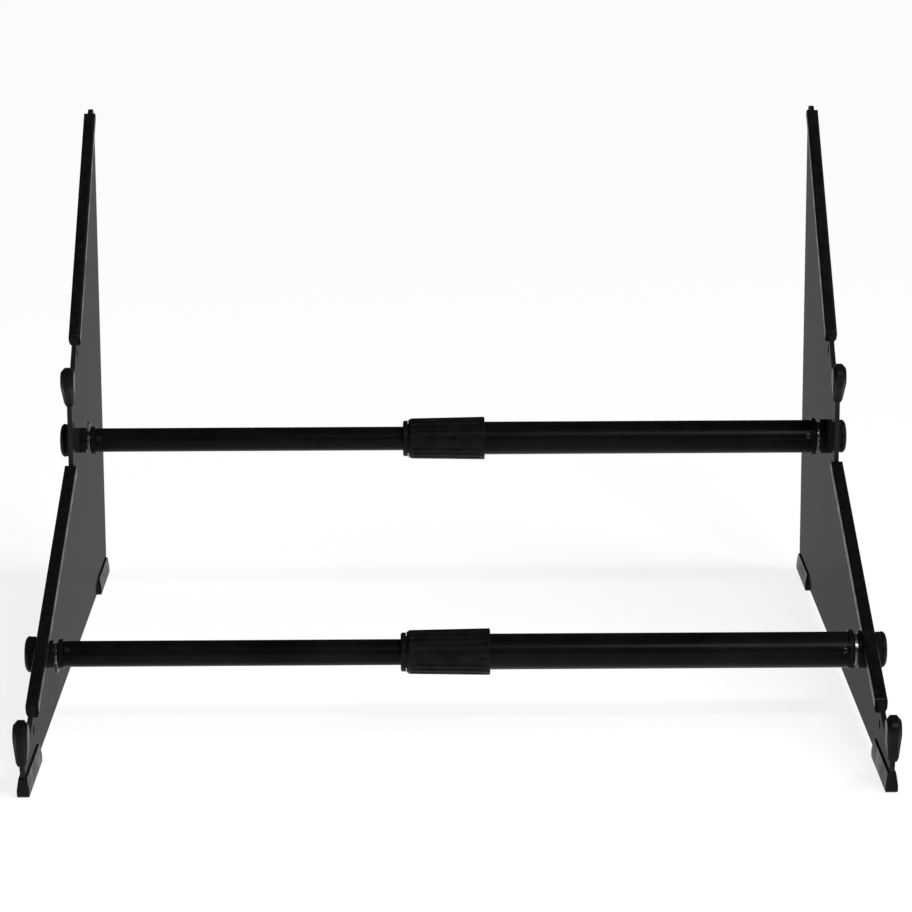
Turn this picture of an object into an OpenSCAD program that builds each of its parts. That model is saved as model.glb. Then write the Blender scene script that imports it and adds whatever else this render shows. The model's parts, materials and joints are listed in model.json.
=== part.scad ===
// Two-tier tabletop instrument stand: two steel side plates with rubber-edged rests and
// hooks, joined by two telescoping crossbars with twist clutches and screw knobs.
// +X runs across the stand, -Y is the player's side, +Z is up, and the feet stand on Z = 0.

/* [Side plates] */
// Clear width between the inner faces of the two side plates
inner_width = 640; // [520:5:900]
// Thickness of each side plate
plate_t = 4; // [3:0.5:5]
// How far the low end of the upper rest lies behind that of the lower rest
tier_setback = 384; // [300:2:480]
// How far the low end of the upper rest lies above that of the lower rest
tier_rise = 212; // [195:1:270]
// Height of the low end of the lower rest above the table
lower_rest_z = 50; // [44:1:70]
// Slope of the lower rest in degrees
lower_rest_angle = 19.2; // [15:0.1:22]
// How far up the lower rest its trim starts
lower_trim_start = 6; // [0:1:20]
// Slope of the upper rest in degrees
upper_rest_angle = 42.4; // [36:0.1:50]
// Length of the trim on the upper rest
upper_rest_len = 250; // [180:1:320]
// Radius of the top corner of a plate
top_corner_r = 10.5; // [4:0.5:16]
// Radius of the two bottom corners of a plate
bottom_corner_r = 3; // [1:0.5:6]
// Diameter of the accessory hole below the low end of each rest
rest_hole_d = 8; // [5:0.5:10]
// How far the accessory hole lies past the end of the trim
rest_hole_past = 7; // [4:0.5:12]
// How far the accessory hole lies below the face of the rest
rest_hole_depth = 14; // [11:0.5:18]

/* [Hooks] */
// Bare plate edge between a rest trim and its hook
hook_gap = 54; // [40:1:64]
// Width of the steel finger of a hook
hook_t = 16; // [12:0.5:20]
// Height of the steel finger above the face of the rest
hook_h = 30; // [22:1:38]
// Height above the face of the upper rest at which its hook bends out of the riser
hook_bend_h = 4; // [0:0.5:8]
// Radius in the valley between a rest and its hook
valley_r = 8; // [3:0.5:12]
// Rubber over the front, tip and back of a hook
cap_wall = 3; // [2:0.5:4]
// Width of a hook cap at its tip
cap_tip_w = 11; // [8:0.5:15]
// Width of a hook cap at its root
cap_root_w = 8; // [7.5:0.5:12]
// Height above the face of the rest at which a hook cap ends
cap_root_h = 1; // [0:0.5:6]
// Bevel around the two sides of a hook cap
cap_bevel = 2; // [1:0.5:3]

/* [Rubber channels] */
// Outer width of the rubber channel on a rest
trim_w = 10; // [8:0.5:14]
// Rubber over the plate edge under a rest
trim_floor = 3; // [2:0.5:4]
// Depth of the rubber channel on a rest
trim_depth = 13.5; // [10:0.5:17]
// Outer width of the rubber channel under a foot
foot_w = 9.5; // [8:0.5:14]
// Rubber under the plate edge in a foot
foot_floor = 5.5; // [3:0.5:6]
// Height of the rubber channel of a foot
foot_h = 16; // [14:0.5:20]
// Length of the tapered part of a foot's lips
foot_taper = 9.5; // [6:0.5:10]
// Length of a front foot
front_foot_len = 86; // [60:1:140]
// Length of a rear foot
rear_foot_len = 78; // [60:1:140]
// Rubber in front of the plate in the closed end of a front foot
foot_front_wall = 5; // [4:0.5:8]
// Radius of the outer corners of a channel
channel_r = 2; // [1:0.25:2.5]
// Thickness of a channel's lips at their thin edge
lip_t = 1.2; // [0.8:0.1:1.8]
// Length of the tapered part of a rest trim's lips
lip_taper = 5; // [3:0.5:6]
// Gap between a rest trim and the steel or arc that it ends at
trim_end_gap = 0.5; // [0.5:0.5:3]

/* [Crossbars] */
// How far the lower bar lies behind the low end of the lower rest
lower_bar_back = 100; // [70:1:260]
// How far the lower bar's axis lies below the face of the lower rest
lower_bar_drop = 19.5; // [17.5:0.5:22]
// How far the upper bar lies behind the riser
upper_bar_back = 66; // [30:1:110]
// Height of the upper bar's axis above the table
upper_bar_z = 169.5; // [155:0.5:190]
// Outer diameter of the outer tube
outer_tube_d = 28.2; // [26:0.2:34]
// Radial gap between the two tubes, which the guide bush fills
tube_gap = 2.4; // [1:0.1:3]
// Wall of both tubes
tube_wall = 1.5; // [1:0.1:2]
// How far the outer tube starts from the middle of the stand
outer_tube_start = 0; // [-10:1:20]
// How far the inner tube's hidden end lies inside the outer tube
inner_tube_reach = 62; // [50:1:80]
// Length of the guide bush on the inner tube's hidden end
bush_len = 20; // [10:1:30]
// Radial running clearance of a sliding or turning fit
running_gap = 0.05; // [0.02:0.01:0.09]

/* [Twist clutches] */
// Length of the grip over the outer tube
grip_tail = 26.7; // [18:0.1:35]
// Length of the grip over the inner tube
grip_front = 38.8; // [30:0.1:50]
// Wall of the grip over its sleeve at the inner tube end
grip_front_wall = 1.75; // [1.75:0.05:3]
// Wall of the grip over its sleeve at the outer tube end
grip_tail_wall = 2.8; // [2:0.1:4]
// Number of grooves around the grip
grip_grooves = 20; // [12:1:28]
// Radius of each groove
grip_groove_r = 1.3; // [0.8:0.1:1.5]
// Depth of each groove
grip_groove_depth = 0.7; // [0.4:0.1:0.9]
// Wall of the sleeve between the grip and the outer tube
base_wall = 1.4; // [1:0.1:2]
// Wall of the collet around the inner tube
collet_wall = 2.3; // [1.5:0.1:2.8]
// How far the collet's nose stands out past its body
nose_lip = 2.8; // [1:0.1:4]
// Length of the collet's nose
nose_len = 4.5; // [3:0.1:7]
// Width of the slits in the collet
slit_w = 1.2; // [0.8:0.1:2]

/* [Bar ends] */
// Length of the boss on the plate
boss_len = 5.5; // [4:0.1:8]
// How much the boss stands out past its tube
boss_lip = 0.5; // [0:0.1:0.8]
// Length of the open neck that holds the clip ring
neck_len = 3.5; // [3:0.1:6]
// How much thinner the neck is than its tube, on the radius
neck_step = 2.7; // [2.2:0.1:3]
// Length of the plug's flange
flange_len = 4; // [2:0.1:6]
// How much the plug's flange stands out past its tube
flange_lip = 1.5; // [1:0.1:2]
// Length of the plug inside its tube
plug_len = 20; // [15:1:24]
// Wall of the threaded insert around the stud
insert_wall = 1.5; // [1:0.1:2]
// Length of the threaded insert
insert_len = 18; // [15:1:22]
// Diameter of the knob's stud
stud_d = 8; // [6:0.5:8]
// Radial clearance of the stud in the plate and the washer
stud_gap = 0.3; // [0.1:0.05:0.8]
// Thickness of the clip ring's band
clip_t = 1.1; // [0.8:0.1:1.4]
// Width of the clip ring's band
clip_w = 2.6; // [2:0.1:3]
// Height of the clip ring's ears above its band
clip_ear_h = 6.5; // [4:0.5:9]
// Gap between the clip ring's ears
clip_ear_gap = 2.6; // [2:0.1:4]
// Thickness of the clip ring's ears
clip_ear_t = 1.4; // [1:0.1:2]
// Diameter of the plug screw's shank
screw_d = 3; // [2.5:0.1:3.5]
// Diameter of the plug screw's head
screw_head_d = 4.6; // [4:0.1:5.5]
// How far the plug screw lies from the flange
screw_from_flange = 3.4; // [3:0.1:6]

/* [Knobs] */
// Diameter of a knob
knob_d = 28.5; // [22:0.5:30]
// Thickness of a knob
knob_t = 9; // [8:0.5:14]
// Height of the smooth crown beyond the knob's ribbed band
knob_crown = 4; // [3:0.5:5]
// Thickness of the washer behind a knob
washer_t = 4; // [3.8:0.1:6]
// Diameter of the washer behind a knob
washer_d = 16; // [14:0.5:17]
// Number of ribs around a knob
knob_ribs = 36; // [24:1:44]
// Depth of the stud in its knob
stud_in_knob = 6; // [4:0.5:7]

/* [Hidden] */

LEFT = -1;
RIGHT = 1;
ROUND = 96;
ARC_STEPS = 8;
CUT = 1;

steel_black = [0.13, 0.13, 0.135];
tube_black = [0.04, 0.04, 0.045];
rubber_black = [0.05, 0.05, 0.05];
plastic_black = [0.03, 0.03, 0.03];
bright_steel = [0.70, 0.70, 0.68];
brass_yellow = [0.72, 0.58, 0.30];

// A rest has its own axes: u runs up its face from the low end of its trim, n out of the face.
function on_rest(low_end, angle, u, n) =
    low_end + u * [cos(angle), sin(angle)] + n * [-sin(angle), cos(angle)];

// Side view of a plate, as [y, z], first with the lower rest's low end at y = 0.
hook_reach = hook_gap + hook_t;
hook_middle = hook_gap + hook_t / 2;
hook_tip_flat = 0.2;
hook_tip_r = (hook_t - hook_tip_flat) / 2;
front_raw = on_rest([0, 0], lower_rest_angle, -hook_middle, hook_h - hook_t / 2)[0]
    - hook_t / 2 - cap_wall;
top_tangent = top_corner_r / tan((90 - upper_rest_angle) / 2);
top_corner_u = upper_rest_len + trim_end_gap + top_tangent;
rear_raw = on_rest([tier_setback, 0], upper_rest_angle, top_corner_u, -trim_floor)[0];
middle_raw = (front_raw + rear_raw) / 2;

lower_low = [-middle_raw, lower_rest_z];
upper_low = lower_low + [tier_setback, tier_rise];
rear_y = rear_raw - middle_raw;
riser_y = on_rest(upper_low, upper_rest_angle, -hook_reach, hook_bend_h)[0];
lower_trim_end = (riser_y - lower_low[0] - trim_end_gap - trim_floor * sin(lower_rest_angle))
    / cos(lower_rest_angle);
riser_foot_z = lower_low[1] + (riser_y - lower_low[0]) * tan(lower_rest_angle)
    - trim_floor / cos(lower_rest_angle);
front_n = (foot_floor - lower_rest_z + hook_reach * sin(lower_rest_angle)) / cos(lower_rest_angle);
front_corner = on_rest(lower_low, lower_rest_angle, -hook_reach, front_n);
top_corner = on_rest(upper_low, upper_rest_angle, top_corner_u, -trim_floor);
knob_rib_r = PI * knob_d / knob_ribs / 4;

// Diameters that follow from the outer tube and the stud
inner_tube_d = outer_tube_d - 2 * tube_wall - 2 * tube_gap;
base_d = outer_tube_d + 2 * base_wall;
grip_front_d = base_d + 2 * grip_front_wall;
grip_tail_d = base_d + 2 * grip_tail_wall;
collet_d = inner_tube_d + 2 * collet_wall;
nose_d = collet_d + 2 * nose_lip;
insert_d = stud_d + 2 * insert_wall;
stud_hole_d = stud_d + 2 * stud_gap;

lower_bar = [
    lower_low[0] + lower_bar_back,
    lower_low[1] + lower_bar_back * tan(lower_rest_angle) - lower_bar_drop / cos(lower_rest_angle)
];
upper_bar = [riser_y + upper_bar_back, upper_bar_z];

// Points of a round corner at b, between the straight edges from a and to c.
function unit(v) = v / norm(v);
function turn(from, to) = (to - from + 540) % 360 - 180;
function bearing(v) = atan2(v[1], v[0]);
function corner(a, b, c, r) = r == 0 ? [b] :
    let (
        p = unit(a - b),
        q = unit(c - b),
        half = acos(p * q) / 2,
        centre = b + unit(p + q) * r / sin(half),
        first = bearing(b + p * r / tan(half) - centre),
        sweep = turn(first, bearing(b + q * r / tan(half) - centre))
    )
    [for (i = [0 : ARC_STEPS]) let (t = first + sweep * i / ARC_STEPS) centre + r * [cos(t), sin(t)]];
function rounded(points, radii) =
    let (count = len(points))
    [for (i = [0 : count - 1])
        each corner(points[(i + count - 1) % count], points[i], points[(i + 1) % count], radii[i])];

plate_outline = rounded(
    [
        front_corner,
        on_rest(lower_low, lower_rest_angle, -hook_reach, hook_h),
        on_rest(lower_low, lower_rest_angle, -hook_gap, hook_h),
        on_rest(lower_low, lower_rest_angle, -hook_gap, -trim_floor),
        [riser_y, riser_foot_z],
        on_rest(upper_low, upper_rest_angle, -hook_reach, hook_bend_h),
        on_rest(upper_low, upper_rest_angle, -hook_reach, hook_h),
        on_rest(upper_low, upper_rest_angle, -hook_gap, hook_h),
        on_rest(upper_low, upper_rest_angle, -hook_gap, -trim_floor),
        top_corner,
        [rear_y, foot_floor]
    ],
    [
        bottom_corner_r, hook_tip_r, hook_tip_r, valley_r, 0,
        valley_r, hook_tip_r, hook_tip_r, valley_r, top_corner_r, bottom_corner_r
    ]
);

// Cross-section of a rubber channel with its outer face on n = 0 and its mouth downwards.
function channel_section(w, floor_t, depth, taper) =
    let (in_x = plate_t / 2, lip_x = plate_t / 2 + lip_t, shoulder = taper - depth)
    rounded(
        [
            [-w / 2, 0], [w / 2, 0], [w / 2, shoulder], [lip_x, -depth], [in_x, -depth],
            [in_x, -floor_t], [-in_x, -floor_t], [-in_x, -depth], [-lip_x, -depth], [-w / 2, shoulder]
        ],
        [channel_r, channel_r, 0, 0, 0, 0, 0, 0, 0, 0]
    );

// The same section without its slot.
function solid_section(w, depth, taper) =
    let (lip_x = plate_t / 2 + lip_t, shoulder = taper - depth)
    rounded(
        [[-w / 2, 0], [w / 2, 0], [w / 2, shoulder], [lip_x, -depth], [-lip_x, -depth], [-w / 2, shoulder]],
        [channel_r, channel_r, 0, 0, 0, 0]
    );

// Placing

// Puts children on a side: x = 0 is the plate's middle plane and +x points outwards.
module on_side(side) {
    mirror([side == LEFT ? 1 : 0, 0, 0])
        translate([inner_width / 2 + plate_t / 2, 0, 0])
            children();
}

// Puts children on a rest, with +y up its face and +z out of it.
module on_face(low_end, angle) {
    translate([0, low_end[0], low_end[1]]) rotate([angle, 0, 0]) children();
}

// Puts children on a bar's axis, with +z along +X.
module on_bar(bar) {
    translate([0, bar[0], bar[1]]) rotate([0, 90, 0]) children();
}

// Puts children on the end of a bar: z = 0 is the plate's inner face, +z points inwards,
// -x is up and -y is the front.
module on_end(bar, side) {
    translate([0, bar[0], bar[1]])
        mirror([side == RIGHT ? 1 : 0, 0, 0])
            translate([-inner_width / 2, 0, 0])
                rotate([0, 90, 0])
                    children();
}

// Extrudes a [y, z] outline across a plate's thickness.
module across(outline, t) {
    translate([-t / 2, 0, 0]) rotate([90, 0, 90]) linear_extrude(t) polygon(outline);
}

module turned(profile) {
    rotate_extrude($fn = ROUND) polygon(profile);
}

module ring(outer_d, inner_d, from_z, to_z) {
    turned([
        [inner_d / 2, from_z], [outer_d / 2, from_z],
        [outer_d / 2, to_z], [inner_d / 2, to_z]
    ]);
}

// Side plate and its rubber

module cross_hole(at, d) {
    translate([0, at[0], at[1]])
        rotate([0, 90, 0])
            cylinder(h = plate_t + 2 * CUT, d = d, center = true, $fn = ROUND);
}

module rest_hole(low_end, angle) {
    cross_hole(on_rest(low_end, angle, -rest_hole_past, -rest_hole_depth), rest_hole_d);
}

module side_plate(side) {
    color(steel_black)
        on_side(side)
            difference() {
                across(plate_outline, plate_t);
                rest_hole(lower_low, lower_rest_angle);
                rest_hole(upper_low, upper_rest_angle);
                cross_hole(lower_bar, stud_hole_d);
                cross_hole(upper_bar, stud_hole_d);
            }
}

// A length of rubber along +y with a section and rounded ends, mouth towards -z.
module strip(length, depth, section) {
    end_outline = rounded(
        [[0, 0], [length, 0], [length, -depth], [0, -depth]],
        [2 * channel_r, 2 * channel_r, channel_r, channel_r]
    );
    intersection() {
        translate([0, length, 0])
            rotate([90, 0, 0])
                linear_extrude(length)
                    polygon(section);
        across(end_outline, 2 * foot_w + 2 * trim_w);
    }
}

module channel(length, w, floor_t, depth, taper) {
    strip(length, depth, channel_section(w, floor_t, depth, taper));
}

function boss_d(tube_d) = tube_d + 2 * boss_lip;
function side_tube_d(side) = side == LEFT ? inner_tube_d : outer_tube_d;

// Room in a rest trim's walls for the boss inside the plate and the washer outside it.
module bar_notches(bar, side) {
    room = 2 * boss_lip;
    translate([0, bar[0], bar[1]]) {
        rotate([0, -90, 0])
            cylinder(h = trim_w, d = boss_d(side_tube_d(side)) + room, $fn = ROUND);
        rotate([0, 90, 0])
            cylinder(h = trim_w, d = washer_d + room, $fn = ROUND);
    }
}

module rest_trim(length) {
    channel(length, trim_w, trim_floor, trim_depth, lip_taper);
}

module lower_rest_trim(side) {
    color(rubber_black)
        on_side(side)
            difference() {
                on_face(lower_low, lower_rest_angle)
                    translate([0, lower_trim_start, 0])
                        rest_trim(lower_trim_end - lower_trim_start);
                bar_notches(lower_bar, side);
            }
}

module upper_rest_trim(side) {
    color(rubber_black)
        on_side(side)
            on_face(upper_low, upper_rest_angle)
                rest_trim(upper_rest_len);
}

module cap_disc(w, d) {
    translate([0, 0, hook_h - hook_t / 2])
        rotate([0, 90, 0])
            cylinder(h = w, d = d, center = true, $fn = 40);
}

module cap_slab(w, depth, z) {
    translate([-w / 2, -depth / 2, z]) cube([w, depth, CUT]);
}

module hook_cap(side, low_end, angle) {
    boot_w = hook_t + 2 * cap_wall;
    root_bevel = cap_bevel * 0.6;
    color(rubber_black)
        on_side(side)
            difference() {
                on_face(low_end, angle)
                    translate([0, -hook_middle, 0])
                        hull() {
                            cap_disc(cap_tip_w, boot_w - 2 * cap_bevel);
                            cap_disc(cap_tip_w - 2 * cap_bevel, boot_w);
                            cap_slab(cap_root_w, boot_w - 2 * root_bevel, cap_root_h + cap_bevel);
                            cap_slab(cap_root_w - 2 * root_bevel, boot_w, cap_root_h);
                        }
                across(plate_outline, plate_t);
            }
}

module on_table(start_y) {
    translate([0, start_y, 0]) mirror([0, 0, 1]) children();
}

module front_foot(side) {
    color(rubber_black)
        on_side(side)
            difference() {
                on_table(front_corner[0] - foot_front_wall)
                    strip(front_foot_len, foot_h, solid_section(foot_w, foot_h, foot_taper));
                across(plate_outline, plate_t);
            }
}

module rear_foot(side) {
    color(rubber_black)
        on_side(side)
            on_table(rear_y - rear_foot_len)
                channel(rear_foot_len, foot_w, foot_floor, foot_h, foot_taper);
}

// Crossbars

flange_from = boss_len + neck_len;
tube_from = flange_from + flange_len;
tube_end_x = inner_width / 2 - tube_from;

module screw_hole(bar, side, angle) {
    on_end(bar, side) radial(angle, tube_from + screw_from_flange, screw_d, outer_tube_d);
}

// A cylinder from the bar's axis outwards, at an angle above the front, at a distance z.
module radial(angle, z, d, length) {
    translate([0, 0, z])
        rotate([0, 0, 270 - angle])
            rotate([0, 90, 0])
                cylinder(h = length, d = d, $fn = ROUND);
}

module outer_tube(bar, angle) {
    color(tube_black)
        difference() {
            on_bar(bar) ring(outer_tube_d, outer_tube_d - 2 * tube_wall, outer_tube_start, tube_end_x);
            screw_hole(bar, RIGHT, angle);
        }
}

module inner_tube(bar, angle) {
    hidden_end = outer_tube_start + inner_tube_reach;
    color(tube_black)
        difference() {
            on_bar(bar) ring(inner_tube_d, inner_tube_d - 2 * tube_wall, -tube_end_x, hidden_end);
            screw_hole(bar, LEFT, angle);
        }
}

module guide_bush(bar) {
    hidden_end = outer_tube_start + inner_tube_reach;
    bush_d = outer_tube_d - 2 * tube_wall - 2 * running_gap;
    color(plastic_black) on_bar(bar) ring(bush_d, inner_tube_d, hidden_end - bush_len, hidden_end);
}

// Twist clutch, with z = 0 at the start of the outer tube

grip_lip = 2.4;
grip_lip_gap = 0.4;
collet_back = 4;

module on_clutch(bar) {
    on_bar(bar) translate([0, 0, outer_tube_start]) children();
}

module clutch_base(bar) {
    front_z = grip_lip - grip_front;
    tail_z = grip_tail - grip_lip - grip_lip_gap;
    color(plastic_black)
        on_clutch(bar)
            turned([
                [collet_d / 2, front_z], [base_d / 2, front_z], [base_d / 2, tail_z],
                [outer_tube_d / 2, tail_z], [outer_tube_d / 2, 0], [collet_d / 2, 0]
            ]);
}

module clutch_collet(bar) {
    nose_front = -grip_front - nose_len;
    nose_back = -grip_front - grip_lip_gap;
    bore_r = inner_tube_d / 2 + running_gap;
    slit_h = grip_front - grip_lip - 2 * collet_back;
    color(plastic_black)
        on_clutch(bar)
            difference() {
                turned([
                    [bore_r, nose_front], [nose_d / 2 - 1, nose_front], [nose_d / 2, nose_front + 1],
                    [nose_d / 2, nose_back], [collet_d / 2, nose_back],
                    [collet_d / 2, -collet_back], [bore_r, -collet_back]
                ]);
                for (i = [0 : 1])
                    rotate([0, 0, 90 * i])
                        translate([-collet_d, -slit_w / 2, -collet_back - slit_h])
                            cube([2 * collet_d, slit_w, slit_h + CUT]);
            }
}

module clutch_grip(bar) {
    bore_r = base_d / 2 + running_gap;
    front_lip_r = collet_d / 2 + 1;
    tail_lip_r = outer_tube_d / 2 + grip_lip_gap;
    shoulder = 3;
    groove_from = shoulder + 1 - grip_front;
    groove_to = grip_tail - shoulder;
    groove_h = groove_to - groove_from;
    groove_r = (grip_front_d + grip_tail_d) / 4 + grip_groove_r - grip_groove_depth;
    lean = atan((grip_tail_d - grip_front_d) / 2 / (grip_front + grip_tail));
    color(plastic_black)
        on_clutch(bar)
            difference() {
                turned([
                    [front_lip_r, -grip_front], [grip_front_d / 2 - shoulder / 2, -grip_front],
                    [grip_front_d / 2, shoulder - grip_front], [grip_tail_d / 2, grip_tail - 1],
                    [grip_tail_d / 2 - 1, grip_tail], [tail_lip_r, grip_tail],
                    [tail_lip_r, grip_tail - grip_lip], [bore_r, grip_tail - grip_lip],
                    [bore_r, grip_lip - grip_lip_gap - grip_front],
                    [front_lip_r, grip_lip - grip_lip_gap - grip_front]
                ]);
                for (i = [0 : grip_grooves - 1])
                    rotate([0, 0, 360 * i / grip_grooves])
                        translate([groove_r, 0, (groove_from + groove_to) / 2])
                            rotate([0, lean, 0])
                                cylinder(h = groove_h, r = grip_groove_r, center = true, $fn = 24);
            }
}

// Bar ends

function neck_d(tube_d) = tube_d - 2 * neck_step;
plug_foot = 0.4;

module boss(bar, side) {
    tube_d = side_tube_d(side);
    color(plastic_black) on_end(bar, side) ring(boss_d(tube_d), neck_d(tube_d), 0, boss_len);
}

module plug(bar, side, angle) {
    tube_d = side_tube_d(side);
    bore_d = tube_d - 2 * tube_wall;
    flange_d = tube_d + 2 * flange_lip;
    edge = 0.6;
    color(plastic_black)
        difference() {
            on_end(bar, side)
                turned([
                    [insert_d / 2, plug_foot], [neck_d(tube_d) / 2, plug_foot],
                    [neck_d(tube_d) / 2, flange_from], [flange_d / 2 - edge, flange_from],
                    [flange_d / 2, flange_from + edge], [flange_d / 2, tube_from],
                    [bore_d / 2, tube_from], [bore_d / 2, tube_from + plug_len],
                    [0, tube_from + plug_len], [0, plug_foot + insert_len],
                    [insert_d / 2, plug_foot + insert_len]
                ]);
            screw_hole(bar, side, angle);
        }
}

module insert(bar, side) {
    bore_d = stud_d + 2 * running_gap;
    color(brass_yellow)
        on_end(bar, side)
            ring(insert_d, bore_d, plug_foot, plug_foot + insert_len);
}

module clip_ring(bar, side, ear_angle) {
    inner_r = neck_d(side_tube_d(side)) / 2;
    outer_r = inner_r + clip_t;
    ear_x = inner_r + clip_t / 2;
    color(bright_steel)
        on_end(bar, side)
            translate([0, 0, boss_len + (neck_len - clip_w) / 2])
                rotate([0, 0, ear_angle]) {
                    difference() {
                        ring(2 * outer_r, 2 * inner_r, 0, clip_w);
                        translate([0, -clip_ear_gap / 2, -CUT])
                            cube([2 * outer_r, clip_ear_gap, clip_w + 2 * CUT]);
                    }
                    for (way = [-1, 1])
                        translate([ear_x, way * (clip_ear_gap + clip_ear_t) / 2 - clip_ear_t / 2, 0])
                            cube([clip_ear_h + clip_t / 2, clip_ear_t, clip_w]);
                }
}

module plug_screw(bar, side, angle) {
    tube_d = side_tube_d(side);
    z = tube_from + screw_from_flange;
    head_h = 0.9;
    shank_from = insert_d / 2 + 0.8;
    color(bright_steel)
        on_end(bar, side)
            difference() {
                union() {
                    radial(angle, z, screw_d, tube_d / 2 + head_h / 2);
                    intersection() {
                        radial(angle, z, screw_head_d, tube_d / 2 + head_h);
                        ring(tube_d + 2 * head_h, tube_d, z - screw_head_d, z + screw_head_d);
                    }
                }
                cylinder(h = 2 * z, r = shank_from, $fn = ROUND);
            }
}

// Knobs

module washer(bar, side) {
    color(bright_steel)
        on_end(bar, side)
            ring(washer_d, stud_hole_d, -plate_t - washer_t, -plate_t);
}

module knob(bar, side) {
    face = -plate_t - washer_t;
    rim_r = knob_d / 2;
    rib_band = knob_t - knob_crown;
    rib_inset = 0.4;
    color(plastic_black)
        on_end(bar, side)
            difference() {
                turned([
                    [stud_d / 2, face], [rim_r - 3 * rib_inset, face],
                    [rim_r - rib_inset, face - 2 * rib_inset], [rim_r - rib_inset, face - rib_band],
                    [rim_r, face - rib_band - rib_inset], [rim_r - 0.6, face - knob_t + 2],
                    [rim_r - 2.6, face - knob_t + 0.6], [rim_r - 5, face - knob_t], [0, face - knob_t],
                    [0, face - stud_in_knob], [stud_d / 2, face - stud_in_knob]
                ]);
                for (i = [0 : knob_ribs - 1])
                    rotate([0, 0, 360 * i / knob_ribs])
                        translate([rim_r - 0.2, 0, face - rib_band])
                            cylinder(h = rib_band + CUT, r = knob_rib_r, $fn = 16);
            }
}

module stud(bar, side) {
    face = -plate_t - washer_t;
    tip = plug_foot + insert_len - 3;
    chamfer = 1;
    color(bright_steel)
        on_end(bar, side)
            turned([
                [0, face - stud_in_knob], [stud_d / 2, face - stud_in_knob],
                [stud_d / 2, tip - chamfer], [stud_d / 2 - chamfer, tip], [0, tip]
            ]);
}

// Angles of the plug screws above the front, and of the clip rings' ears from straight down
lower_left_screw = 35;
upper_left_screw = 19;
right_screw = 12;
ears_down = 0;
ears_up = 180;
ears_back = 90;

side_plate(LEFT);  // left_side_plate
lower_rest_trim(LEFT);  // left_lower_rest_trim
upper_rest_trim(LEFT);  // left_upper_rest_trim
hook_cap(LEFT, lower_low, lower_rest_angle);  // left_lower_hook_cap
hook_cap(LEFT, upper_low, upper_rest_angle);  // left_upper_hook_cap
front_foot(LEFT);  // left_front_foot
rear_foot(LEFT);  // left_rear_foot

side_plate(RIGHT);  // right_side_plate
lower_rest_trim(RIGHT);  // right_lower_rest_trim
upper_rest_trim(RIGHT);  // right_upper_rest_trim
hook_cap(RIGHT, lower_low, lower_rest_angle);  // right_lower_hook_cap
hook_cap(RIGHT, upper_low, upper_rest_angle);  // right_upper_hook_cap
front_foot(RIGHT);  // right_front_foot
rear_foot(RIGHT);  // right_rear_foot

outer_tube(lower_bar, right_screw);  // lower_outer_tube
inner_tube(lower_bar, lower_left_screw);  // lower_inner_tube
guide_bush(lower_bar);  // lower_guide_bush
clutch_base(lower_bar);  // lower_clutch_base
clutch_collet(lower_bar);  // lower_clutch_collet
clutch_grip(lower_bar);  // lower_clutch_grip

outer_tube(upper_bar, right_screw);  // upper_outer_tube
inner_tube(upper_bar, upper_left_screw);  // upper_inner_tube
guide_bush(upper_bar);  // upper_guide_bush
clutch_base(upper_bar);  // upper_clutch_base
clutch_collet(upper_bar);  // upper_clutch_collet
clutch_grip(upper_bar);  // upper_clutch_grip

boss(lower_bar, LEFT);  // lower_left_boss
plug(lower_bar, LEFT, lower_left_screw);  // lower_left_plug
insert(lower_bar, LEFT);  // lower_left_insert
clip_ring(lower_bar, LEFT, ears_down);  // lower_left_clip_ring
plug_screw(lower_bar, LEFT, lower_left_screw);  // lower_left_plug_screw
washer(lower_bar, LEFT);  // lower_left_washer
knob(lower_bar, LEFT);  // lower_left_knob
stud(lower_bar, LEFT);  // lower_left_stud

boss(lower_bar, RIGHT);  // lower_right_boss
plug(lower_bar, RIGHT, right_screw);  // lower_right_plug
insert(lower_bar, RIGHT);  // lower_right_insert
clip_ring(lower_bar, RIGHT, ears_back);  // lower_right_clip_ring
plug_screw(lower_bar, RIGHT, right_screw);  // lower_right_plug_screw
washer(lower_bar, RIGHT);  // lower_right_washer
knob(lower_bar, RIGHT);  // lower_right_knob
stud(lower_bar, RIGHT);  // lower_right_stud

boss(upper_bar, LEFT);  // upper_left_boss
plug(upper_bar, LEFT, upper_left_screw);  // upper_left_plug
insert(upper_bar, LEFT);  // upper_left_insert
clip_ring(upper_bar, LEFT, ears_up);  // upper_left_clip_ring
plug_screw(upper_bar, LEFT, upper_left_screw);  // upper_left_plug_screw
washer(upper_bar, LEFT);  // upper_left_washer
knob(upper_bar, LEFT);  // upper_left_knob
stud(upper_bar, LEFT);  // upper_left_stud

boss(upper_bar, RIGHT);  // upper_right_boss
plug(upper_bar, RIGHT, right_screw);  // upper_right_plug
insert(upper_bar, RIGHT);  // upper_right_insert
clip_ring(upper_bar, RIGHT, ears_back);  // upper_right_clip_ring
plug_screw(upper_bar, RIGHT, right_screw);  // upper_right_plug_screw
washer(upper_bar, RIGHT);  // upper_right_washer
knob(upper_bar, RIGHT);  // upper_right_knob
stud(upper_bar, RIGHT);  // upper_right_stud
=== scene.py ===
import json
import math

import bmesh
import bpy
from mathutils import Matrix, Vector


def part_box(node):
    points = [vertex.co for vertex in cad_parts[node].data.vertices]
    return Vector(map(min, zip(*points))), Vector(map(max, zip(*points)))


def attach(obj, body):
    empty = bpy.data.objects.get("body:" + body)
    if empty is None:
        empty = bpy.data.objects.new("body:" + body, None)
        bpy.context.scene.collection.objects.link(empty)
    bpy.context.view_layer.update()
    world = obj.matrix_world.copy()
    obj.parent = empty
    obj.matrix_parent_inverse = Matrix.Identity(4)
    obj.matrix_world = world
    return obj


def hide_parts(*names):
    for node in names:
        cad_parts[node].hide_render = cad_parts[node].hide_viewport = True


# A two-tier tabletop instrument stand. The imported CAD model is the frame: +X runs across the stand,
# -Y is the player's side, +Z is up, and lengths are in metres.

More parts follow.
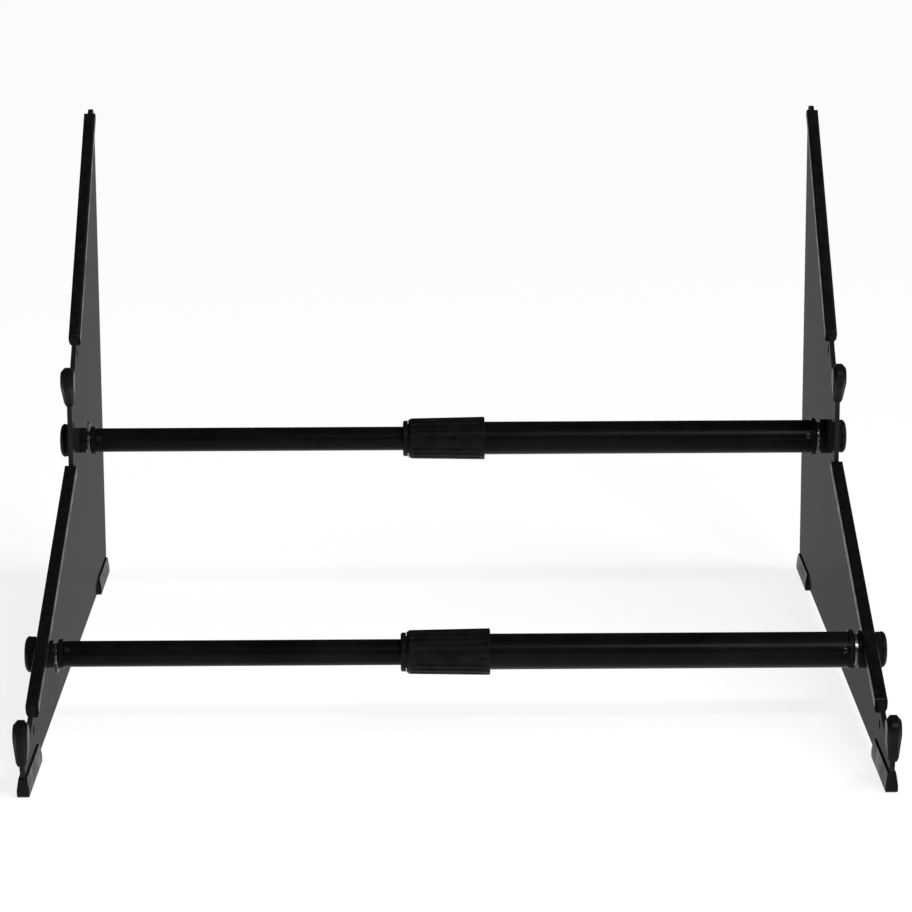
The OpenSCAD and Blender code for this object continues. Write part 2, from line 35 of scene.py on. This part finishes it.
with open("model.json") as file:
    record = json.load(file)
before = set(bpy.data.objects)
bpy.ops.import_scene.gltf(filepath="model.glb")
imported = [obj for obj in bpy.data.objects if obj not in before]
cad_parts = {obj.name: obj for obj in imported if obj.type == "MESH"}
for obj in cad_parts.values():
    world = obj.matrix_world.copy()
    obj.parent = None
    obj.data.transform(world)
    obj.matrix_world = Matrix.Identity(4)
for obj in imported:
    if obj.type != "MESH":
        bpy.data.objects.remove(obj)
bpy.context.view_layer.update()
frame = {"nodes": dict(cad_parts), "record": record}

MM = 0.001
TIERS = ("lower", "upper")
SIDES = ("left", "right")
NODE_BODY = {n: b for b, ns in frame["record"]["behaviour"]["bodies"].items() for n in ns}
NODE_SLOT = {p["node"]: p["material_slot"] for p in frame["record"]["subparts"]}


# ---------------------------------------------------------------- materials

# Noise and cell textures mostly stay within this range.
TEXTURE_LOW = 0.35
TEXTURE_HIGH = 0.65


class Surface:
    """A Principled material whose textures are laid out in the row frame, in metres."""

    def __init__(self, name, color, roughness, metallic=0.0, specular=0.5):
        self.material = bpy.data.materials.new(name)
        self.material.use_nodes = True
        self.nodes = self.material.node_tree.nodes
        self.shader = self.nodes["Principled BSDF"]
        self.set("Base Color", (*color, 1.0))
        self.set("Roughness", roughness)
        self.set("Metallic", metallic)
        self.set("Specular IOR Level", specular)
        self.place = self.add("ShaderNodeTexCoord").outputs["Object"]
        self.height = None

    def set(self, socket, value):
        self.shader.inputs[socket].default_value = value

    def add(self, kind, **settings):
        node = self.nodes.new(kind)
        for key, value in settings.items():
            setattr(node, key, value)
        return node

    def link(self, a, b):
        self.material.node_tree.links.new(a, b)

    def noise(self, size, detail=2.0, stretch=(1, 1, 1)):
        """Noise whose features are about size metres wide, longer along the stretched axes."""
        mapping = self.add("ShaderNodeMapping")
        mapping.inputs["Scale"].default_value = [1 / s for s in stretch]
        texture = self.add("ShaderNodeTexNoise")
        texture.inputs["Scale"].default_value = 1 / size
        texture.inputs["Detail"].default_value = detail
        self.link(self.place, mapping.inputs["Vector"])
        self.link(mapping.outputs["Vector"], texture.inputs["Vector"])
        return texture.outputs["Fac"]

    def cells(self, size):
        """Soft round grains about size metres apart."""
        texture = self.add("ShaderNodeTexVoronoi", feature="SMOOTH_F1")
        texture.inputs["Scale"].default_value = 1 / size
        self.link(self.place, texture.inputs["Vector"])
        return texture.outputs["Distance"]

    def rough(self, source, low, high):
        """Lets the roughness follow a texture, from low to high."""
        node = self.add("ShaderNodeMapRange")
        node.inputs["From Min"].default_value = TEXTURE_LOW
        node.inputs["From Max"].default_value = TEXTURE_HIGH
        node.inputs["To Min"].default_value = low
        node.inputs["To Max"].default_value = high
        self.link(source, node.inputs["Value"])
        self.link(node.outputs["Result"], self.shader.inputs["Roughness"])

    def tint(self, source, dark, light):
        """Lets the base color follow a texture, from dark to light."""
        ramp = self.add("ShaderNodeValToRGB")
        ramp.color_ramp.elements[0].position = TEXTURE_LOW
        ramp.color_ramp.elements[0].color = (*dark, 1.0)
        ramp.color_ramp.elements[1].position = TEXTURE_HIGH
        ramp.color_ramp.elements[1].color = (*light, 1.0)
        self.link(source, ramp.inputs["Fac"])
        self.link(ramp.outputs["Color"], self.shader.inputs["Base Color"])

    def bump(self, source, depth, strength=1.0):
        """Adds relief of about depth metres on top of any relief so far."""
        node = self.add("ShaderNodeBump")
        node.inputs["Strength"].default_value = strength
        node.inputs["Distance"].default_value = depth
        self.link(source, node.inputs["Height"])
        if self.height is not None:
            self.link(self.height, node.inputs["Normal"])
        self.height = node.outputs["Normal"]
        self.link(self.height, self.shader.inputs["Normal"])


def plate_coat():
    s = Surface("powder_coat_satin_black", (0.014, 0.014, 0.015), 0.66, specular=0.0)
    s.tint(s.noise(0.012, 4), (0.012, 0.012, 0.013), (0.018, 0.018, 0.019))
    s.rough(s.noise(0.05, 3), 0.62, 0.72)
    s.set("Coat Weight", 0.13)
    s.set("Coat Roughness", 0.09)
    s.bump(s.noise(0.0016, 3), 0.00006)
    s.bump(s.cells(0.0007), 0.00003, 0.6)
    return s.material


def tube_coat():
    s = Surface("tube_coat_black", (0.003, 0.003, 0.003), 0.26, specular=0.06)
    s.rough(s.noise(0.02, 3, stretch=(6, 1, 1)), 0.26, 0.36)
    s.tint(s.noise(0.03, 3), (0.003, 0.003, 0.003), (0.006, 0.006, 0.006))
    s.bump(s.noise(0.003, 2), 0.00003)
    return s.material


def rubber():
    s = Surface("moulded_black_rubber", (0.004, 0.004, 0.004), 0.36, specular=0.08)
    s.tint(s.noise(0.006, 5), (0.004, 0.004, 0.004), (0.009, 0.009, 0.009))
    s.rough(s.noise(0.015, 4), 0.30, 0.46)
    s.bump(s.noise(0.0012, 3), 0.00005)
    return s.material


def black_plastic():
    s = Surface("moulded_black_plastic", (0.004, 0.004, 0.004), 0.40, specular=0.07)
    s.tint(s.noise(0.01, 3), (0.004, 0.004, 0.004), (0.009, 0.009, 0.009))
    s.rough(s.noise(0.008, 4), 0.34, 0.46)
    s.bump(s.cells(0.0005), 0.00003, 0.7)
    return s.material


def bright_steel():
    s = Surface("zinc_plated_steel", (0.20, 0.20, 0.19), 0.28, metallic=1.0)
    s.tint(s.noise(0.004, 4), (0.13, 0.13, 0.125), (0.28, 0.28, 0.27))
    s.rough(s.noise(0.002, 5), 0.20, 0.38)
    s.bump(s.noise(0.0006, 3), 0.00001)
    return s.material


def blackened_steel():
    s = Surface("blackened_steel", (0.05, 0.05, 0.05), 0.30, metallic=1.0)
    s.tint(s.noise(0.001, 3), (0.03, 0.03, 0.03), (0.08, 0.08, 0.08))
    s.rough(s.noise(0.0008, 4), 0.22, 0.36)
    return s.material


def brass():
    s = Surface("turned_brass", (0.72, 0.56, 0.28), 0.30, metallic=1.0)
    s.tint(s.noise(0.003, 4), (0.62, 0.47, 0.22), (0.78, 0.62, 0.33))
    s.rough(s.noise(0.0008, 4, stretch=(0.2, 4, 4)), 0.22, 0.40)
    return s.material


MATERIALS = {
    "plate_coat": plate_coat(),
    "tube_coat": tube_coat(),
    "rubber": rubber(),
    "black_plastic": black_plastic(),
    "bright_steel": bright_steel(),
    "brass": brass(),
}
SCREW_FINISH = blackened_steel()


# ---------------------------------------------------------------- making pieces

SMOOTH_ANGLE = 35
FINE_SMOOTH_ANGLE = 30
THREAD_SMOOTH_ANGLE = 50
WELD_DISTANCE = 1e-6
POLE_WELD_DISTANCE = 1e-7
FLAT_ANGLE = 0.5


def finish_piece(node, bm, smooth_angle=SMOOTH_ANGLE):
    """Turns a mesh in the row frame into the piece that stands for a CAD node and rides where it does."""
    name = f"{node}_finished"
    bmesh.ops.recalc_face_normals(bm, faces=bm.faces)
    mesh = bpy.data.meshes.new(name)
    bm.to_mesh(mesh)
    bm.free()
    mesh.shade_smooth()
    mesh.set_sharp_from_angle(angle=math.radians(smooth_angle))
    piece = bpy.data.objects.new(name, mesh)
    bpy.context.scene.collection.objects.link(piece)
    normals = piece.modifiers.new("normals", "WEIGHTED_NORMAL")
    normals.keep_sharp = True
    screw = node.endswith("plug_screw")
    mesh.materials.append(SCREW_FINISH if screw else MATERIALS[NODE_SLOT[node]])
    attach(piece, NODE_BODY[node])
    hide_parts(node)


def cad_mesh(node):
    """A CAD node's own mesh with its flat faces whole again, ready to be worked on."""
    bm = bmesh.new()
    bm.from_mesh(frame["nodes"][node].data)
    bmesh.ops.remove_doubles(bm, verts=bm.verts, dist=WELD_DISTANCE)
    bmesh.ops.dissolve_limit(
        bm, angle_limit=math.radians(FLAT_ANGLE), use_dissolve_boundaries=False,
        verts=bm.verts, edges=bm.edges,
    )
    return bm


def sharp_edges(bm, angle):
    return [e for e in bm.edges if e.is_manifold and e.calc_face_angle(0) > math.radians(angle)]


def round_over(bm, edges, radius, segments):
    bmesh.ops.bevel(
        bm, geom=edges, offset=radius, offset_type="OFFSET", segments=segments,
        profile=0.5, affect="EDGES", clamp_overlap=True,
    )


EDGE_ANGLE = 40
EDGE_SEGMENTS = 2


def rounded_node(node, radius):
    """A CAD part with its sharp edges rounded over."""
    bm = cad_mesh(node)
    round_over(bm, sharp_edges(bm, EDGE_ANGLE), radius, EDGE_SEGMENTS)
    finish_piece(node, bm)


MOUTH_LAND = 0.1 * MM
PLATE_HALF = 2.0 * MM
CAP_EDGE_ANGLE = 25
CAP_SEGMENTS = 4
CAP_ROUNDING = 1.7 * MM
CAP_TIP_R = 11.0 * MM
CAP_BEVEL = 2.0 * MM
CAP_SHRINK = 1.4 * MM
CAP_FLAT_SHRINK = 1.1 * MM


def rounded_cap(side, tier):
    """A hook cap with the bevels of its two sides rounded over; its mouth on the plate stays as it is."""
    node = f"{side}_{tier}_hook_cap"
    face = next(m for m in frame["record"]["mounts"] if m["name"] == f"{side}_{tier}_rest")
    up = Vector(face["axis"])
    plate_x = face["pos_m"][0]
    bm = cad_mesh(node)
    lo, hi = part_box(node)
    half = (hi.x - lo.x) / 2
    mouth = min(v.co.dot(up) for v in bm.verts) + MOUTH_LAND
    tip = max(v.co.dot(up) for v in bm.verts) - CAP_TIP_R
    along = Vector((0.0, -up.z, up.y))
    reaches = [v.co.dot(along) for v in bm.verts]
    middle = (min(reaches) + max(reaches)) / 2
    for v in bm.verts:
        away = abs(v.co.x - plate_x)
        from_tip = Vector((v.co.dot(along) - middle, v.co.dot(up) - tip))
        if away > half - MOUTH_LAND and from_tip.length > CAP_TIP_R - CAP_BEVEL - MOUTH_LAND:
            pull = from_tip.normalized() * CAP_SHRINK
            v.co -= along * pull.x + up * pull.y
        elif abs(away - half + CAP_BEVEL) < MOUTH_LAND and v.co.dot(up) > mouth + CAP_BEVEL:
            v.co.x = plate_x + math.copysign(away - CAP_FLAT_SHRINK, v.co.x - plate_x)

    def outside(edge):
        on_plate = any(abs(v.co.x - plate_x) < PLATE_HALF + MOUTH_LAND for v in edge.verts)
        return not on_plate and any(v.co.dot(up) > mouth for v in edge.verts)

    edges = [e for e in sharp_edges(bm, CAP_EDGE_ANGLE) if outside(e)]
    round_over(bm, edges, CAP_ROUNDING, CAP_SEGMENTS)
    finish_piece(node, bm, FINE_SMOOTH_ANGLE)


OUTWARDS = {"left": -1, "right": 1}


def along_x(node, outwards):
    """Places a turned part on its bar: its own z runs along X, the way outwards says, from the near end."""
    lo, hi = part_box(node)
    start = lo.x if outwards > 0 else hi.x
    turn = Matrix.Rotation(math.radians(90 * outwards), 4, "Y")
    return Matrix.Translation(Vector((start, (lo.y + hi.y) / 2, (lo.z + hi.z) / 2))) @ turn


def lathe(profile, segments, radius_at):
    """Turns a closed profile of (radius, z) points. radius_at(r, z, turn) ribs or threads the surface."""
    bm = bmesh.new()
    rings = []
    for i in range(segments):
        turn = 2 * math.pi * i / segments
        ring = []
        for r, z in profile:
            reach = radius_at(r, z, turn)
            ring.append(bm.verts.new((reach * math.cos(turn), reach * math.sin(turn), z)))
        rings.append(ring)
    count = len(profile)
    for i, ring in enumerate(rings):
        following = rings[(i + 1) % segments]
        for k in range(count - 1):
            bm.faces.new((ring[k], following[k], following[k + 1], ring[k + 1]))
    bmesh.ops.remove_doubles(bm, verts=bm.verts, dist=POLE_WELD_DISTANCE)
    return bm


def arc(centre, radius, start, end, steps):
    """Points of a round corner, with angles in degrees."""
    points = []
    for i in range(steps + 1):
        a = math.radians(start + (end - start) * i / steps)
        points.append((centre[0] + radius * math.cos(a), centre[1] + radius * math.sin(a)))
    return points


# ---------------------------------------------------------------- knobs and studs

KNOB_RIBS = 36
KNOB_STEPS_PER_RIB = 8
KNOB_RIB_DEPTH = 0.55 * MM
KNOB_RIB_SHARPNESS = 1.5
KNOB_RIB_START = 0.6 * MM
KNOB_RIM_LAND = 1.0 * MM
# The back, from its hollow to the rim: how far in from the rim, how far up.
KNOB_BACK_HOLLOW = 0.3 * MM
KNOB_BACK = ((3.2 * MM, KNOB_BACK_HOLLOW), (2.6 * MM, 0.0), (1.4 * MM, 0.0), (0.7 * MM, 0.5 * MM))
# The ribbed band, a little smaller than the rim.
KNOB_CROWN = 4.0 * MM
KNOB_BAND_IN = 0.35 * MM
KNOB_BAND_START = 1.0 * MM
KNOB_BAND_SHORTER = 1.4 * MM
KNOB_BAND_STEPS = 6
KNOB_RIM_UP = 0.2 * MM
# The crowned edge.
KNOB_EDGE_IN = 6.0 * MM
KNOB_EDGE_DEEP = 3.6 * MM
KNOB_EDGE_STEPS = 10
# The face: a shallow dish around a low button.
KNOB_DISH = 0.9 * MM
KNOB_DISH_OUTER = ((7.0 * MM, 0.25 * MM), (8.0 * MM, KNOB_DISH))
KNOB_BUTTON = ((0.3, KNOB_DISH), (0.26, 0.35 * MM), (0.0, 0.2 * MM))

STUD_PITCH = 1.25 * MM
STUD_THREAD = 0.55 * MM
STUD_CHAMFER = 1.0 * MM
STUD_STEPS_PER_PITCH = 8
STUD_SEGMENTS = 40


def knob(node, side):
    """A round knob with fine ribs around its band and a dished face."""
    lo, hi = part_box(node)
    rim = (hi.z - lo.z) / 2
    thick = hi.x - lo.x
    band = thick - KNOB_CROWN
    profile = [(0.0, KNOB_BACK_HOLLOW)]
    profile += [(rim - inward, up) for inward, up in KNOB_BACK]
    for i in range(KNOB_BAND_STEPS + 1):
        up = KNOB_BAND_START + (band - KNOB_BAND_SHORTER) * i / KNOB_BAND_STEPS
        profile.append((rim - KNOB_BAND_IN, up))
    profile.append((rim, band + KNOB_RIM_UP))
    for across, deep in arc((0.0, 0.0), 1.0, 0, 90, KNOB_EDGE_STEPS):
        profile.append((rim - KNOB_EDGE_IN * (1 - across), thick - KNOB_EDGE_DEEP * (1 - deep)))
    profile += [(rim - inward, thick - down) for inward, down in KNOB_DISH_OUTER]
    profile += [(rim * share, thick - down) for share, down in KNOB_BUTTON]

    def ribbed(r, z, turn):
        if not KNOB_RIB_START < z < band or r < rim - KNOB_RIM_LAND:
            return r
        wave = abs(math.sin(KNOB_RIBS / 2 * turn))
        return r - KNOB_RIB_DEPTH * (1 - wave) ** KNOB_RIB_SHARPNESS

    bm = lathe(profile, KNOB_RIBS * KNOB_STEPS_PER_RIB, ribbed)
    bmesh.ops.transform(bm, matrix=along_x(node, OUTWARDS[side]), verts=bm.verts)
    finish_piece(node, bm, FINE_SMOOTH_ANGLE)


def stud(node, side):
    """A steel stud with a real helical thread along its length and a chamfer at its end."""
    lo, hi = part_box(node)
    crest = (hi.z - lo.z) / 2
    length = hi.x - lo.x
    steps = int(length / STUD_PITCH * STUD_STEPS_PER_PITCH)
    profile = [(0.0, 0.0)]
    for i in range(steps + 1):
        z = length * i / steps
        profile.append((min(crest, crest - STUD_CHAMFER + z), z))
    profile.append((0.0, length))

    def threaded(r, z, turn):
        if r < crest - 2 * STUD_CHAMFER:
            return r
        phase = (z / STUD_PITCH - turn / (2 * math.pi)) % 1
        root = crest - STUD_THREAD * (1 - abs(2 * phase - 1))
        return min(r, root)

    bm = lathe(profile, STUD_SEGMENTS, threaded)
    bmesh.ops.transform(bm, matrix=along_x(node, OUTWARDS[side]), verts=bm.verts)
    finish_piece(node, bm, THREAD_SMOOTH_ANGLE)


# ---------------------------------------------------------------- twist clutch grips

GRIP_RIBS = 20
GRIP_STEPS_PER_RIB = 14
GRIP_RIB_DEPTH = 0.9 * MM
GRIP_RIB_ROUNDNESS = 0.8
GRIP_RIB_FADE = 2 * MM
GRIP_TAIL_LAND = 2.5 * MM
GRIP_RIM_LAND = 1.0 * MM
GRIP_WALL = 2.0 * MM
GRIP_RAKE = 1.05 * MM
GRIP_STEPS = 26
# The narrow front end: how far in from the front radius, how far along.
GRIP_SHOULDER = 3.0 * MM
GRIP_FRONT_LIP = 1.6 * MM
GRIP_FRONT = ((2.0 * MM, 0.0), (1.5 * MM, 0.15 * MM))
GRIP_FRONT_ROUND = 0.9 * MM
GRIP_FRONT_ROUND_BACK = 0.2 * MM
# The wide tail end.
GRIP_TAIL_SHORTER = 1.2 * MM
GRIP_TAIL_ROUND = 1.0 * MM
GRIP_TAIL_LIP = 1.5 * MM
GRIP_LIP_LENGTH = 2.0 * MM


def grip(node):
    """The ribbed sleeve that is twisted by hand, narrower at the inner tube's end."""
    lo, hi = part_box(node)
    tail = (hi.z - lo.z) / 2
    front = tail - GRIP_RAKE
    length = hi.x - lo.x
    front_bore = front - GRIP_WALL - GRIP_FRONT_LIP
    tail_bore = tail - GRIP_WALL - GRIP_TAIL_LIP
    profile = [(front_bore, GRIP_LIP_LENGTH), (front_bore, 0.0)]
    profile += [(front - inward, z) for inward, z in GRIP_FRONT]
    front_centre = (front - GRIP_FRONT_ROUND, GRIP_SHOULDER - GRIP_FRONT_ROUND_BACK)
    profile += arc(front_centre, GRIP_FRONT_ROUND, -30, 0, 3)
    for i in range(GRIP_STEPS + 1):
        share = i / GRIP_STEPS
        z = GRIP_SHOULDER + (length - GRIP_SHOULDER - GRIP_TAIL_SHORTER) * share
        profile.append((front + (tail - front) * share, z))
    tail_centre = (tail - GRIP_TAIL_ROUND, length - GRIP_TAIL_ROUND)
    profile += arc(tail_centre, GRIP_TAIL_ROUND, 10, 90, 5)
    profile += [(tail_bore, length), (tail_bore, length - GRIP_LIP_LENGTH)]

    def ribbed(r, z, turn):
        if r < front - GRIP_RIM_LAND:
            return r
        past_shoulder = max(0.0, (z - GRIP_SHOULDER) / GRIP_RIB_FADE)
        before_tail = max(0.0, (length - GRIP_TAIL_LAND - z) / GRIP_RIB_FADE)
        groove = max(0.0, math.cos(GRIP_RIBS * turn)) ** GRIP_RIB_ROUNDNESS
        return r - GRIP_RIB_DEPTH * groove * min(1.0, past_shoulder, before_tail)

    bm = lathe(profile, GRIP_RIBS * GRIP_STEPS_PER_RIB, ribbed)
    bmesh.ops.transform(bm, matrix=along_x(node, 1), verts=bm.verts)
    finish_piece(node, bm, FINE_SMOOTH_ANGLE)


# ---------------------------------------------------------------- the whole stand

PLATE_EDGE = 0.5 * MM
TRIM_EDGE = 0.35 * MM
FOOT_EDGE = 0.4 * MM
COLLET_EDGE = 0.3 * MM
BAR_END_EDGES = {
    "boss": 0.5 * MM,
    "plug": 0.3 * MM,
    "washer": 0.5 * MM,
    "clip_ring": 0.3 * MM,
    "plug_screw": 0.2 * MM,
}

for side in SIDES:
    rounded_node(f"{side}_side_plate", PLATE_EDGE)
    for tier in TIERS:
        rounded_node(f"{side}_{tier}_rest_trim", TRIM_EDGE)
        rounded_cap(side, tier)
    for end in ("front", "rear"):
        rounded_node(f"{side}_{end}_foot", FOOT_EDGE)

for bar in TIERS:
    grip(f"{bar}_clutch_grip")
    rounded_node(f"{bar}_clutch_collet", COLLET_EDGE)
    for side in SIDES:
        knob(f"{bar}_{side}_knob", side)
        stud(f"{bar}_{side}_stud", side)
        for part, radius in BAR_END_EDGES.items():
            rounded_node(f"{bar}_{side}_{part}", radius)

# The CAD pieces that nothing replaces are kept and only get their material.
for node, piece in frame["nodes"].items():
    if not piece.hide_render:
        piece.data.materials.clear()
        piece.data.materials.append(MATERIALS[NODE_SLOT[node]])


# ---------------------------------------------------------------- stage, light and camera

FLOOR_REACH = 40.0
FLOOR_COLOR = (0.35, 0.35, 0.35)
FLOOR_GLOW = 0.85
ROOM_LIGHT = 0.06
KEY_LIGHT = 1.1
KEY_DIRECTION = (-0.9, 0.35, -1.0)
KEY_SPREAD = math.radians(40)
FRONT_STRIP_AT = (0.8, -2.0, 2.1)
FRONT_STRIP_TARGET = (0.2, -0.1, 0.1)
FRONT_STRIP_SIZE = (0.9, 0.3)
FRONT_STRIP_POWER = 24.0
CAMERA_AT = Vector((-0.0125, -2.7814, 0.8228))
CAMERA_YAW = math.radians(0.287)
CAMERA_PITCH = math.radians(12.90)
CAMERA_ROLL = math.radians(-0.25)
CAMERA_LENS = 137.5
SENSOR = 36.0


def floor():
    """A white sweep that glows a little, like a lit backdrop, so that shadows on it stay faint."""
    bm = bmesh.new()
    bmesh.ops.create_grid(bm, x_segments=8, y_segments=8, size=FLOOR_REACH)
    mesh = bpy.data.meshes.new("floor")
    bm.to_mesh(mesh)
    bm.free()
    piece = bpy.data.objects.new("floor", mesh)
    bpy.context.scene.collection.objects.link(piece)
    s = Surface("pale_floor", FLOOR_COLOR, 0.9, specular=0.0)
    s.set("Emission Color", (1.0, 1.0, 1.0, 1.0))
    s.set("Emission Strength", FLOOR_GLOW)
    mesh.materials.append(s.material)


def add_light(name, kind, direction):
    light = bpy.data.lights.new(name, kind)
    piece = bpy.data.objects.new(name, light)
    piece.rotation_euler = Vector(direction).to_track_quat("-Z", "Y").to_euler()
    bpy.context.scene.collection.objects.link(piece)
    return piece


def studio():
    """An even, dim room, one broad key light from the upper right, and a strip that glints on the tubes."""
    world = bpy.data.worlds.new("studio")
    bpy.context.scene.world = world
    world.use_nodes = True
    background = world.node_tree.nodes["Background"]
    background.inputs["Color"].default_value = (1.0, 1.0, 1.0, 1.0)
    background.inputs["Strength"].default_value = ROOM_LIGHT
    key = add_light("key", "SUN", KEY_DIRECTION)
    key.data.energy = KEY_LIGHT
    key.data.angle = KEY_SPREAD
    strip = add_light("front_strip", "AREA", Vector(FRONT_STRIP_TARGET) - Vector(FRONT_STRIP_AT))
    strip.location = FRONT_STRIP_AT
    strip.data.shape = "RECTANGLE"
    strip.data.size, strip.data.size_y = FRONT_STRIP_SIZE
    strip.data.energy = FRONT_STRIP_POWER
    bpy.context.scene.view_settings.view_transform = "Standard"


def camera():
    """The photograph's viewpoint: almost straight on, a little above, with a slight roll."""
    data = bpy.data.cameras.new("camera")
    data.lens = CAMERA_LENS
    data.sensor_width = SENSOR
    piece = bpy.data.objects.new("camera", data)
    bpy.context.scene.collection.objects.link(piece)
    look = Vector((
        math.sin(CAMERA_YAW) * math.cos(CAMERA_PITCH),
        math.cos(CAMERA_YAW) * math.cos(CAMERA_PITCH),
        -math.sin(CAMERA_PITCH),
    ))
    level = Vector((math.cos(CAMERA_YAW), -math.sin(CAMERA_YAW), 0.0))
    upright = level.cross(look)
    right = level * math.cos(CAMERA_ROLL) + upright * math.sin(CAMERA_ROLL)
    up = upright * math.cos(CAMERA_ROLL) - level * math.sin(CAMERA_ROLL)
    piece.matrix_world = Matrix.Translation(CAMERA_AT) @ Matrix((right, up, -look)).transposed().to_4x4()
    bpy.context.scene.camera = piece


floor()
studio()
camera()
